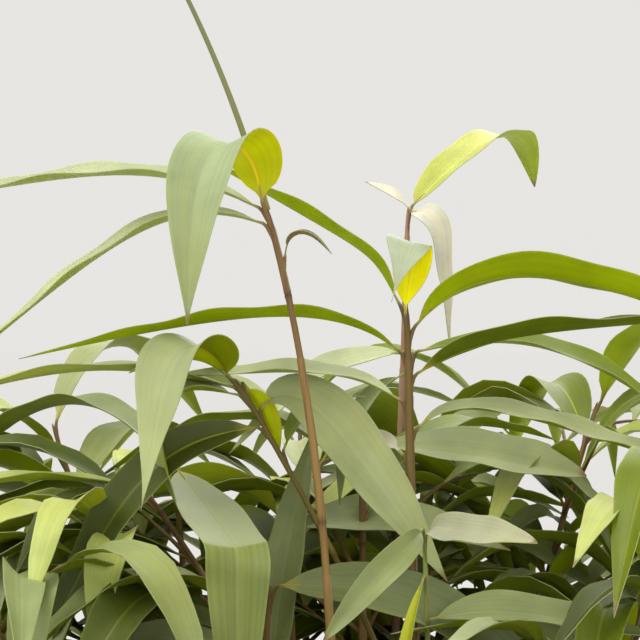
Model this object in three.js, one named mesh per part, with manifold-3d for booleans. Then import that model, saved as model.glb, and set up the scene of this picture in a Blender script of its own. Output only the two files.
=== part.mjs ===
// Potted bamboo: a clump of slender culms in a round pot, with broad arching leaves in masses.
// Millimetres, +Z up. The origin is the centre of the pot's flat underside.
// Headings are degrees about +Z: 0 is +X, 90 is +Y. The plant's front looks along -Y.
import * as THREE from "three";
import { mergeVertices } from "three/addons/utils/BufferGeometryUtils.js";
import Module from "manifold-3d";

const wasm = await Module();
wasm.setup();

// Clearance between pieces that touch
const GAP = 0.3;

// Pot
const POT_HEIGHT = 262;
const POT_FOOT_RADIUS = 112;
const POT_BAND_RADIUS = 166;
const POT_BAND_HEIGHT = 44;
const POT_BAND_STEP = 9;
const POT_WALL = 11;
const POT_FLOOR = 16;
const POT_EDGE = 4;
const POT_SIDES = 22;

// Soil
const SOIL_LEVEL = 240;
const SOIL_FLAT_RADIUS = 122;
const SOIL_DIP = 5;

// Culms
const CULM_SIDES = 6;
const CULM_STEPS = 6;
const CULM_FOOT = SOIL_LEVEL + GAP;

// Leaves: the solid that stands for each blade
const PATH_STEPS = 24;
const FRONT_STEPS = 6;
const OUTER_STEPS = 4;
const BLADE_KEEL = 2;
const BLADE_SPREAD = 0.93;
const BLADE_FOLD = 0.36;
const STALK_LENGTH = 6;
const STALK_RADIUS = 1.5;
const SHEATH_RADIUS = 1.9;
const SHEATH_REACH = 3;
const SHEATH_SIDES = 3;
const SHEATH_STEPS = 2;
const CULM_CUT = 0.45;
const BLADE_CUT = 0.5;
// A thin edge moves this many times further sideways, so that both faces beside it move out
const EDGE_CUT = 4;

// Blade outline: how fast it widens from its foot and how fast it narrows to its tip
const OUTLINE = [0.6, 1.1];

// The culms and leaves that show at the front. Each culm runs from its foot in the soil to its tip;
// sweep bends it, taper above 1 keeps it stout for longer and rings is how many steps it has. Each leaf
// has the height of its joint (z), its heading, its rise at the foot and how far it bends over by the
// tip; hinge and sharp say where along the blade it bends and how suddenly, swing turns it sideways,
// roll and twist turn its face, shape is its own outline and fold how deep its midrib lies.
const FRONT_CULMS = [
  {
    name: "01",
    foot: [10, -62],
    tip: [-95, -62, 935],
    radii: [2.3, 0.8],
    sweep: 4,
    taper: 3,
    rings: 12,
    masses: {
      flag: [
        { z: 780, heading: 238, rise: 80, bend: 168, length: 157, width: 40, hinge: 0.32,
          sharp: 1.6, swing: 8, roll: 18, twist: -59, shape: [0.5, 1.2] },
      ],
      left: [
        { z: 778, heading: 178, rise: 24, bend: 34, length: 200, width: 27, hinge: 0.3, roll: -14 },
        { z: 770, heading: 184, rise: 16, bend: 56, length: 190, width: 24, hinge: 0.25, roll: -12 },
      ],
      curl: [
        { z: 753, heading: 350, rise: 85, bend: 130, length: 36, width: 12 },
      ],
    },
  },
  {
    name: "02",
    foot: [54, -40],
    tip: [46, -40, 730],
    radii: [2.8, 1.75],
    sweep: 1.5,
    taper: 3,
    masses: {
      flag: [
        { z: 722, heading: 248, rise: 107, bend: 142, length: 103, width: 29, hinge: 0.42,
          sharp: 11, swing: 9, roll: -19, shape: [1.0, 2.35], fold: 0.1 },
      ],
      left: [
        { z: 728, heading: 174, rise: 62, bend: 32, length: 140, width: 26,
          hinge: 0.22, sharp: 4, roll: 8 },
        { z: 703, heading: 179, rise: 38, bend: 50, length: 210, width: 24,
          hinge: 0.2, sharp: 1.6, roll: 10 },
        { z: 677, heading: 178, rise: 30, bend: 34, length: 140, width: 22, hinge: 0.25, roll: -15 },
        { z: 648, heading: 148, rise: 45, bend: 52, length: 60, width: 16, hinge: 0.2, roll: -35 },
      ],
      right: [
        { z: 716, heading: 355, rise: 50, bend: 74, length: 210, width: 34,
          hinge: 0.25, sharp: 1.6, roll: -24 },
        { z: 691, heading: 2, rise: 30, bend: 26, length: 200, width: 28,
          hinge: 0.2, roll: -35, twist: 60 },
        { z: 662, heading: 356, rise: 46, bend: 64, length: 195, width: 25, hinge: 0.12, roll: 16 },
      ],
    },
  },
  {
    name: "03",
    foot: [100, -20],
    tip: [-46, -36, 690],
    radii: [2.2, 1.3],
    sweep: 1.9,
    masses: {
      flag: [
        { z: 688, heading: 217, rise: 50, bend: 125, length: 127, width: 42, hinge: 0.29,
          sharp: 3, swing: 15, roll: 6, twist: -30, shape: [0.5, 1.65] },
      ],
      left: [
        { z: 689, heading: 190, rise: 40, bend: 60, length: 58, width: 22, roll: 20 },
        { z: 684, heading: 180, rise: 12, bend: 28, length: 200, width: 24 },
        { z: 680, heading: 194, rise: 10, bend: 115, length: 100, width: 26,
          hinge: 0.42, sharp: 3, roll: -10 },
        { z: 663, heading: 186, rise: -8, bend: 56, length: 190, width: 27, hinge: 0.3, roll: -55 },
      ],
      right: [
        { z: 687, heading: 20, rise: -45, bend: 25, length: 46, width: 17, hinge: 0.3, roll: -30 },
        { z: 672, heading: 350, rise: 50, bend: 104, length: 150, width: 36,
          hinge: 0.14, sharp: 2.4, roll: 55 },
        { z: 650, heading: 40, rise: 62, bend: 60, length: 70, width: 16 },
      ],
    },
  },
  {
    name: "04",
    foot: [40, 85],
    tip: [53, 90, 790],
    radii: [3.2, 1.5],
    sweep: 1.5,
    masses: {
      flag: [
        { z: 788, heading: 47, rise: 36, bend: 64, length: 218, width: 29, hinge: 0.58,
          sharp: 1.6, swing: 31, roll: 11, twist: -20, shape: [0.5, 0.85] },
      ],
      front: [
        { z: 785, heading: 298, rise: -4, bend: 80, length: 104, width: 20, hinge: 0.21,
          sharp: 4, swing: 51, roll: 32, twist: -11, shape: [0.5, 1.5] },
        { z: 786, heading: 160, rise: 50, bend: 30, length: 34, width: 7 },
      ],
    },
  },
  {
    name: "05",
    foot: [62, -66],
    tip: [54, -62, 613],
    radii: [2.0, 1.2],
    sweep: 1.5,
    masses: {
      right: [
        { z: 608, heading: 282, rise: 22, bend: 21, length: 112, width: 20, hinge: 0.18,
          sharp: 9, swing: 15, roll: 62, twist: -38, shape: [0.67, 0.8] },
        { z: 565, heading: 352, rise: 12, bend: 22, length: 122, width: 27, hinge: 0.3, roll: 28 },
      ],
      left: [
        { z: 612, heading: 254, rise: -11, bend: 38, length: 94, width: 16, hinge: 0.41,
          sharp: 2.2, swing: -59, roll: -56, twist: -16, shape: [0.62, 0.83] },
        { z: 588, heading: 244, rise: -50, bend: 34, length: 140, width: 10, roll: 25 },
      ],
    },
  },
  {
    name: "06",
    foot: [50, 20],
    tip: [52, 40, 708],
    radii: [3.2, 1.6],
    sweep: 1.5,
    masses: {
      right: [
        { z: 702, heading: 352, rise: 10, bend: 46, length: 190, width: 28, roll: 15 },
      ],
      left: [
        { z: 702, heading: 185, rise: -8, bend: 36, length: 120, width: 26, roll: -25 },
        { z: 690, heading: 205, rise: -30, bend: 50, length: 90, width: 26 },
      ],
    },
  },
  {
    name: "07",
    foot: [24, 30],
    tip: [24, 20, 660],
    radii: [3.2, 1.6],
    sweep: 1.5,
    masses: {
      right: [
        { z: 650, heading: 358, rise: -2, bend: 10, length: 124, width: 33, roll: 38, shape: [0.9, 0.75] },
        { z: 612, heading: 42, rise: 48, bend: 60, length: 180, width: 32 },
      ],
      left: [
        { z: 632, heading: 165, rise: 40, bend: 70, length: 180, width: 32 },
      ],
    },
  },
  {
    name: "08",
    foot: [50, 0],
    tip: [-98, -5, 629],
    radii: [3.0, 1.5],
    sweep: 1.9,
    masses: {
      left: [
        { z: 628, heading: 182, rise: 8, bend: 30, length: 190, width: 24 },
        { z: 620, heading: 205, rise: 0, bend: 85, length: 80, width: 26, hinge: 0.3 },
        { z: 590, heading: 190, rise: 20, bend: 60, length: 190, width: 30 },
      ],
    },
  },
  {
    name: "09",
    foot: [-60, 10],
    tip: [-82, 5, 655],
    radii: [3.0, 1.5],
    sweep: 1.6,
    masses: {
      front: [
        { z: 638, heading: 293, rise: -20, bend: 66, length: 215, width: 38,
          hinge: 0.5, sharp: 40, swing: -16, fold: 0.14 },
      ],
      left: [
        { z: 640, heading: 150, rise: 40, bend: 75, length: 190, width: 32 },
        { z: 604, heading: 165, rise: 30, bend: 70, length: 190, width: 32 },
      ],
    },
  },
  {
    name: "10",
    foot: [-40, -30],
    tip: [-26, -40, 583],
    radii: [3.0, 1.5],
    sweep: 1.6,
    masses: {
      right: [
        { z: 579, heading: 352, rise: 2, bend: 40, length: 190, width: 31, hinge: 0.4, roll: 50 },
        { z: 520, heading: 60, rise: 80, bend: 14, length: 150, width: 27 },
      ],
      left: [
        { z: 556, heading: 200, rise: 40, bend: 90, length: 190, width: 34 },
        { z: 520, heading: 172, rise: 36, bend: 76, length: 190, width: 32 },
      ],
    },
  },
  {
    name: "11",
    foot: [-10, 40],
    tip: [-19, 40, 620],
    radii: [3.0, 1.5],
    sweep: 1.6,
    masses: {
      left: [
        { z: 606, heading: 178, rise: 42, bend: 58, length: 120, width: 38, hinge: 0.3, roll: 28 },
        { z: 570, heading: 160, rise: 38, bend: 80, length: 190, width: 34 },
      ],
      right: [
        { z: 602, heading: 340, rise: 12, bend: 26, length: 130, width: 30, roll: 40 },
        { z: 590, heading: 30, rise: 46, bend: 70, length: 170, width: 30 },
      ],
    },
  },
];

// The culms that fill the clump out round its sides and back, leaning out from the middle
const OUTER_CULMS = [
  { name: "12", foot: [-74, 62], tip: [-168, 126, 662] },
  { name: "13", foot: [82, 58], tip: [172, 114, 676] },
  { name: "14", foot: [-4, 98], tip: [-14, 212, 665] },
  { name: "15", foot: [-94, -26], tip: [-190, -50, 606] },
  { name: "16", foot: [98, 4], tip: [200, -40, 630] },
  { name: "17", foot: [-40, -80], tip: [-74, -186, 520] },
  { name: "18", foot: [30, -92], tip: [84, -180, 505] },
];
const OUTER_RADII = [3.2, 1.4];
const OUTER_SWEEP = 1.7;
const OUTER_RINGS = 5;
const OUTER_LEAVES = 8;
const OUTER_SPACING = 21;
const OUTER_SIDE = 66;
const OUTER_WANDER = 26;
const OUTER_RISE = [34, 66];
const OUTER_BEND = [74, 112];
const OUTER_LENGTH = [150, 205];
const OUTER_WIDTH = [26, 36];
const OUTER_ROLL = 30;
const OUTER_TOP = 6;
const OUTER_SEED = 189;
const OUTER_SEED_STEP = 37;

const POT_MATERIAL = { color: 0x9c6f57, roughness: 0.85, metalness: 0 };
const SOIL_MATERIAL = { color: 0x3b2d22, roughness: 1, metalness: 0 };
const CULM_MATERIAL = { color: 0x8a7a52, roughness: 0.6, metalness: 0 };
const LEAF_MATERIALS = {
  flag: { color: 0xb3c92c, roughness: 0.55, metalness: 0 },
  left: { color: 0x6f8c4a, roughness: 0.55, metalness: 0 },
  right: { color: 0x7f9a52, roughness: 0.55, metalness: 0 },
  front: { color: 0x93a867, roughness: 0.55, metalness: 0 },
  curl: { color: 0x9a9a5a, roughness: 0.6, metalness: 0 },
};

const radians = THREE.MathUtils.degToRad;

// A repeatable run of numbers from 0 to 1
function seeded(seed) {
  let state = seed;
  return () => {
    state = (state * 16807) % 2147483647;
    return state / 2147483647;
  };
}

// Moves every point of a geometry to place(x, y, z)
function warp(geometry, place) {
  const position = geometry.getAttribute("position");
  for (let i = 0; i < position.count; i += 1) {
    const moved = place(position.getX(i), position.getY(i), position.getZ(i));
    position.setXYZ(i, moved.x, moved.y, moved.z);
  }
  return geometry;
}

// A closed geometry as a solid that can be joined and cut
function solidOf(geometry) {
  const bare = geometry.clone();
  bare.deleteAttribute("normal");
  bare.deleteAttribute("uv");
  const merged = mergeVertices(bare, 1e-4);
  return new wasm.Manifold(
    new wasm.Mesh({
      numProp: 3,
      vertProperties: new Float32Array(merged.getAttribute("position").array),
      triVerts: new Uint32Array(merged.index.array),
    }),
  );
}

// The solid back as a geometry
function geometryOf(solid) {
  const mesh = solid.getMesh();
  const geometry = new THREE.BufferGeometry();
  geometry.setAttribute("position", new THREE.BufferAttribute(mesh.vertProperties, 3));
  geometry.setIndex(new THREE.BufferAttribute(mesh.triVerts, 1));
  geometry.computeVertexNormals();
  return geometry;
}

function named(name, geometry, material) {
  const mesh = new THREE.Mesh(geometry, new THREE.MeshStandardMaterial(material));
  mesh.name = name;
  return mesh;
}

// Pot wall

// Inner radius of the pot at a height above its floor
function potInside(z) {
  const outside = THREE.MathUtils.mapLinear(
    z,
    0,
    POT_HEIGHT - POT_BAND_HEIGHT,
    POT_FOOT_RADIUS,
    POT_BAND_RADIUS - POT_BAND_STEP,
  );
  return outside - POT_WALL;
}

function potGeometry() {
  const bandFoot = POT_HEIGHT - POT_BAND_HEIGHT;
  const profile = [
    [0, 0],
    [POT_FOOT_RADIUS - POT_EDGE, 0],
    [POT_FOOT_RADIUS, POT_EDGE],
    [POT_BAND_RADIUS - POT_BAND_STEP, bandFoot],
    [POT_BAND_RADIUS - POT_EDGE, bandFoot + 1],
    [POT_BAND_RADIUS, bandFoot + POT_EDGE],
    [POT_BAND_RADIUS, POT_HEIGHT - POT_EDGE],
    [POT_BAND_RADIUS - POT_EDGE, POT_HEIGHT],
    [potInside(POT_HEIGHT) + POT_EDGE, POT_HEIGHT],
    [potInside(POT_HEIGHT - POT_EDGE), POT_HEIGHT - POT_EDGE],
    [potInside(POT_FLOOR), POT_FLOOR],
    [0, POT_FLOOR],
  ];
  const points = profile.map(([r, z]) => new THREE.Vector2(r, z));
  return new THREE.LatheGeometry(points, POT_SIDES).rotateX(Math.PI / 2);
}

function soilGeometry() {
  const floor = POT_FLOOR + GAP;
  const edge = SOIL_LEVEL - SOIL_DIP;
  const profile = [
    [0, floor],
    [potInside(floor) - GAP, floor],
    [potInside(edge) - GAP, edge],
    [SOIL_FLAT_RADIUS, SOIL_LEVEL],
    [0, SOIL_LEVEL],
  ];
  const points = profile.map(([r, z]) => new THREE.Vector2(r, z));
  return new THREE.LatheGeometry(points, POT_SIDES).rotateX(Math.PI / 2);
}

// Culms

function along(culm, z) {
  return Math.max(0, (z - SOIL_LEVEL) / (culm.tip[2] - SOIL_LEVEL));
}

function culmCentre(culm, z) {
  const share = along(culm, z) ** culm.sweep;
  const x = THREE.MathUtils.lerp(culm.foot[0], culm.tip[0], share);
  const y = THREE.MathUtils.lerp(culm.foot[1], culm.tip[1], share);
  return new THREE.Vector3(x, y, z);
}

function culmRadius(culm, z) {
  const share = Math.min(1, along(culm, z)) ** (culm.taper ?? 1);
  return THREE.MathUtils.lerp(culm.radii[0], culm.radii[1], share);
}

// A rod that follows the culm between two heights, set off from its middle line, with a corner turned
// the way of the offset
function rodAlong(culm, low, high, radiusAt, offset, sides, steps) {
  const rod = new THREE.CylinderGeometry(1, 1, high - low, sides, steps);
  rod.rotateX(Math.PI / 2).translate(0, 0, (low + high) / 2);
  rod.rotateZ(Math.atan2(offset.y, offset.x) + Math.PI / 2);
  return warp(rod, (x, y, z) => {
    const radius = radiusAt(z);
    return culmCentre(culm, z).add(offset).add(new THREE.Vector3(x * radius, y * radius, 0));
  });
}

function culmGeometry(culm, grow) {
  const radiusAt = (z) => culmRadius(culm, z) + grow;
  const none = new THREE.Vector3();
  const [low, high] = [CULM_FOOT - grow, culm.tip[2] + grow];
  return rodAlong(culm, low, high, radiusAt, none, CULM_SIDES, culm.rings ?? CULM_STEPS);
}

// Leaves

// Share of the bend that is done at share s of the blade
function bent(s, hinge, sharp) {
  const done = s ** sharp;
  const left = (((1 - s) * hinge) / (1 - hinge)) ** sharp;
  return done / (done + left);
}

// Directions at share s of the blade: along it, across it and out of its upper side
function bladeAxes(leaf, s) {
  const k = bent(s, leaf.hinge ?? 0.4, leaf.sharp ?? 2);
  const pitch = radians(leaf.rise - leaf.bend * k);
  const heading = radians(leaf.heading + (leaf.swing ?? 0) * k);
  const roll = radians((leaf.roll ?? 0) + (leaf.twist ?? 0) * s);
  const level = new THREE.Vector3(Math.cos(heading), Math.sin(heading), 0);
  const forward = level.clone().multiplyScalar(Math.cos(pitch)).setZ(Math.sin(pitch));
  const flat = new THREE.Vector3(-Math.sin(heading), Math.cos(heading), 0);
  const side = flat.clone().applyAxisAngle(forward, roll);
  const up = forward.clone().cross(side);
  return { forward, side, up };
}

// Width at a share of the blade, 1 where it is widest
function outline(share, [foot, tip]) {
  const widest = foot / (foot + tip);
  const top = widest ** foot * (1 - widest) ** tip;
  return (share ** foot * (1 - share) ** tip) / top;
}

// Half the blade's width at share s of the whole leaf, which starts with a thin stalk
function halfWidth(leaf, s) {
  const blade = (s * leaf.length - STALK_LENGTH) / (leaf.length - STALK_LENGTH);
  const width = outline(Math.max(0, blade), leaf.shape ?? OUTLINE) * leaf.width;
  return Math.max(STALK_RADIUS, width / 2);
}

// From the middle of the culm to the middle of the three-sided sheath, whose flat lies against its skin
function sheathOffset(culm, z, degrees) {
  const reach = culmRadius(culm, z) + CULM_CUT + SHEATH_RADIUS / 2;
  const heading = radians(degrees);
  return new THREE.Vector3(Math.cos(heading), Math.sin(heading), 0).multiplyScalar(reach);
}

// Middle line of a leaf, from its sheath to its tip
function leafPath(culm, leaf, sheath) {
  const at = culmCentre(culm, leaf.z).add(sheath);
  const path = [at.clone()];
  for (let i = 1; i <= PATH_STEPS; i += 1) {
    const step = leaf.length / PATH_STEPS;
    at.addScaledVector(bladeAxes(leaf, i / PATH_STEPS).forward, step);
    path.push(at.clone());
  }
  return path;
}

// A blade folded along its middle: a three-sided section, its keel under the midrib, that follows the path.
// It ends in a point, or bluntly where it is grown to cut its neighbours.
function bladeGeometry(culm, leaf, sheath, grow) {
  const path = leafPath(culm, leaf, sheath);
  const end = grow > 0 ? 1 : 0;
  const cone = new THREE.CylinderGeometry(end, 1, 1, 3, culm.steps).rotateX(Math.PI / 2);
  const corner = Math.sin(Math.PI / 3);
  const fold = leaf.fold ?? BLADE_FOLD;
  return warp(cone, (x, y, z) => {
    const s = Math.min(1, Math.max(0, z + 0.5));
    const ring = Math.max(THREE.MathUtils.lerp(1, end, s), 1e-6);
    const axes = bladeAxes(leaf, s);
    const half = halfWidth(leaf, s);
    const across = (x / ring / corner) * (half + grow * EDGE_CUT);
    const fromKeel = (y / ring + 1) / 1.5;
    const raised = THREE.MathUtils.lerp(-Math.min(BLADE_KEEL, half), half * fold, fromKeel);
    const spread = THREE.MathUtils.lerp(-grow, grow, fromKeel);
    return path[Math.round(s * PATH_STEPS)]
      .clone()
      .addScaledVector(axes.forward, (2 * s - 1) * grow)
      .addScaledVector(axes.side, across * BLADE_SPREAD)
      .addScaledVector(axes.up, raised + spread);
  });
}

// The sheath that joins the leaves of one mass along one side of their culm
function sheathGeometry(culm, leaves, sheath, grow) {
  const heights = leaves.map((leaf) => leaf.z);
  const low = Math.min(...heights) - SHEATH_REACH - grow;
  const high = Math.min(Math.max(...heights) + SHEATH_REACH, culm.tip[2] - GAP) + grow;
  const radiusAt = () => SHEATH_RADIUS + grow;
  return rodAlong(culm, low, high, radiusAt, sheath, SHEATH_SIDES, SHEATH_STEPS);
}

function massSolid(culm, leaves, grow) {
  const lowest = Math.min(...leaves.map((leaf) => leaf.z));
  const sheath = sheathOffset(culm, lowest, leaves[0].heading);
  const blades = leaves.map((leaf) => solidOf(bladeGeometry(culm, leaf, sheath, grow)));
  return wasm.Manifold.union([...blades, solidOf(sheathGeometry(culm, leaves, sheath, grow))]);
}

// Leaves of an outer culm, in two ranks that spread either side of the way it leans
function outerMasses(culm, seed) {
  const random = seeded(seed);
  const between = ([low, high]) => THREE.MathUtils.lerp(low, high, random());
  const lean = THREE.MathUtils.radToDeg(
    Math.atan2(culm.tip[1] - culm.foot[1], culm.tip[0] - culm.foot[0]),
  );
  const masses = { left: [], right: [] };
  for (let i = 0; i < OUTER_LEAVES; i += 1) {
    const side = i % 2 ? 1 : -1;
    const spread = side * OUTER_SIDE + OUTER_WANDER * (2 * random() - 1);
    const leaf = {
      z: culm.tip[2] - OUTER_TOP - OUTER_SPACING * i,
      heading: lean + spread,
      rise: between(OUTER_RISE),
      bend: between(OUTER_BEND),
      length: between(OUTER_LENGTH),
      width: between(OUTER_WIDTH),
      roll: OUTER_ROLL * (2 * random() - 1),
    };
    (side > 0 ? masses.left : masses.right).push(leaf);
  }
  return masses;
}

const outer = OUTER_CULMS.map((culm, i) => {
  const whole = {
    ...culm,
    radii: OUTER_RADII,
    sweep: OUTER_SWEEP,
    rings: OUTER_RINGS,
    steps: OUTER_STEPS,
  };
  return { ...whole, masses: outerMasses(whole, OUTER_SEED + OUTER_SEED_STEP * i) };
});
const front = FRONT_CULMS.map((culm) => ({ ...culm, steps: FRONT_STEPS }));
const culms = [...front, ...outer];

// Assembly: every mass is cut round all the culms and round the masses placed before it
const plant = new THREE.Group();
plant.add(named("pot", potGeometry(), POT_MATERIAL));
plant.add(named("soil", soilGeometry(), SOIL_MATERIAL));

const cutters = [];
for (const culm of culms) {
  plant.add(named("culm_" + culm.name, culmGeometry(culm, 0), CULM_MATERIAL));
  cutters.push(solidOf(culmGeometry(culm, CULM_CUT)));
}

for (const culm of culms) {
  for (const [side, leaves] of Object.entries(culm.masses)) {
    const whole = massSolid(culm, leaves, 0);
    const parts = wasm.Manifold.difference([whole, ...cutters]).decompose();
    const largest = parts.reduce((a, b) => (b.volume() > a.volume() ? b : a));
    const name = "leaves_" + culm.name + "_" + side;
    plant.add(named(name, geometryOf(largest), LEAF_MATERIALS[side]));
    cutters.push(massSolid(culm, leaves, BLADE_CUT));
  }
}

export default plant;
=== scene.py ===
"""Looks of a potted bamboo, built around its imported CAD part.

The file is laid out as a Blender add-on and is run as a script. Lengths in the tables are millimetres and
become metres when a piece is finished. Headings are degrees about +Z: 0 is +X and 90 is +Y.
"""

import math
import random

import bmesh
import bpy
from bpy.props import FloatProperty, FloatVectorProperty, IntProperty, PointerProperty
from mathutils import Matrix, Vector, noise


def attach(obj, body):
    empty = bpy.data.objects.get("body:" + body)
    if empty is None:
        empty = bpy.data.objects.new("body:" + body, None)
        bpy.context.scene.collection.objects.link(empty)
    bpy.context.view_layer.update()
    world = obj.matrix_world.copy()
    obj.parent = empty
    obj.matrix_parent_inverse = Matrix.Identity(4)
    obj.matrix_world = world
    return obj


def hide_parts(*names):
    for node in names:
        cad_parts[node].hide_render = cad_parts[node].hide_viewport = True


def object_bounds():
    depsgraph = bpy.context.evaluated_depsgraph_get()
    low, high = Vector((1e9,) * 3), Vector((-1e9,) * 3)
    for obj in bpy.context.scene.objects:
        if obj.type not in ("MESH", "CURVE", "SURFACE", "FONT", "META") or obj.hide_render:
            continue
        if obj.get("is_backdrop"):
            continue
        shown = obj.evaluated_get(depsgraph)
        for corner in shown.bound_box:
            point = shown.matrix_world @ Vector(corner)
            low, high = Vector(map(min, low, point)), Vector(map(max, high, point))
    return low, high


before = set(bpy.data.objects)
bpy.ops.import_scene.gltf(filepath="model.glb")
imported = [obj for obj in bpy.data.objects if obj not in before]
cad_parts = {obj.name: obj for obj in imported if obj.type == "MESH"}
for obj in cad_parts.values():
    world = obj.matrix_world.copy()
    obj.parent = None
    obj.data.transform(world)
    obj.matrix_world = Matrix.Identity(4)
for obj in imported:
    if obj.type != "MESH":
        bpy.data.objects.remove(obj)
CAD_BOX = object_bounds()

bl_info = {
    "name": "Potted Bamboo",
    "version": (1, 0, 0),
    "blender": (4, 5, 0),
    "location": "3D View > Sidebar > Bamboo",
    "description": "A clump of slender bamboo culms with broad arching leaves in a round clay pot",
    "category": "Add Mesh",
}

MM = 0.001
BODY = "root"

# Pot and soil, the driving sizes of the part
POT_HEIGHT = 262
POT_FOOT_RADIUS = 112
POT_BAND_RADIUS = 166
POT_BAND_HEIGHT = 44
POT_BAND_STEP = 9
POT_WALL = 11
POT_FLOOR = 16
POT_EDGE = 4
POT_FOOT_RING = 18
POT_FOOT_HOLLOW = 0.6
POT_BAND_SLOPE = 1.5
POT_SIDES = 112
POT_CUT = 9
SOIL_LEVEL = 240
SOIL_FLAT_RADIUS = 122
SOIL_DIP = 5
SOIL_RINGS = 40
SOIL_SIDES = 128
GAP = 0.3
# Marks, dents, lumps and crumbs on them: how close together, and how high
POT_MARKS = ((0.42, 0.175), (0.95, 0.125))
POT_DENTS = (0.02, 0.6)
SOIL_LUMPS = (0.035, 2.2)
SOIL_CRUMBS = (0.16, 0.9)
# Lumps strewn on the soil: sizes, how flat they are, and their material with its two tones and scale
STREWN_SEED = 7
STREWN = (("bark_chips", (6, 17), 0.34, "bark_chip", (0.07, 0.035, 0.018), (0.20, 0.11, 0.06), 140.0),
          ("soil_grit", (1.6, 4), 0.8, "pale_grit", (0.38, 0.34, 0.28), (0.62, 0.60, 0.54), 300.0))
# How far they keep from the wall, and as shares of their size their width, rise and dents
STREWN_MARGIN = 8
STREWN_WIDTH = (0.45, 0.8)
STREWN_RISE = 0.35
STREWN_DENT = 0.07
STREWN_TILT = 0.35

# Rules that the part's culms and leaves follow
PATH_STEPS = 24
BLADE_SPREAD = 0.93
BLADE_FOLD = 0.36
STALK_LENGTH = 6
SHEATH_RADIUS = 1.9
CULM_CUT = 0.45

# Outline of a blade: how fast it widens from its foot and narrows to its tip
OUTLINE = (0.6, 1.1)


def leaf(z, heading, rise, bend, length, width, look="sage", hinge=0.4, sharp=2.0, swing=0.0, roll=0.0,
         twist=0.0, shape=OUTLINE, fold=BLADE_FOLD, mesh=None):
    """One leaf: the height of its joint, its heading, its rise at the foot, how far it bends over by the
    tip, its colours, where along it bends and how suddenly (hinge, sharp), how it turns (swing, roll,
    twist), its outline, how deep it is folded along its midrib and the rows and columns of its mesh."""
    return dict(locals())


def culm_row(name, foot, tip, radii, sweep, skin, sprays, reach, toward, taper=1, **masses):
    """One culm: the middle of its foot and its tip, its radius at both, how late it sweeps over, its
    colours, its number of side twigs with their range of heights and headings, how late it tapers, and
    its leaves in masses as the part has them."""
    return dict(locals())


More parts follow.
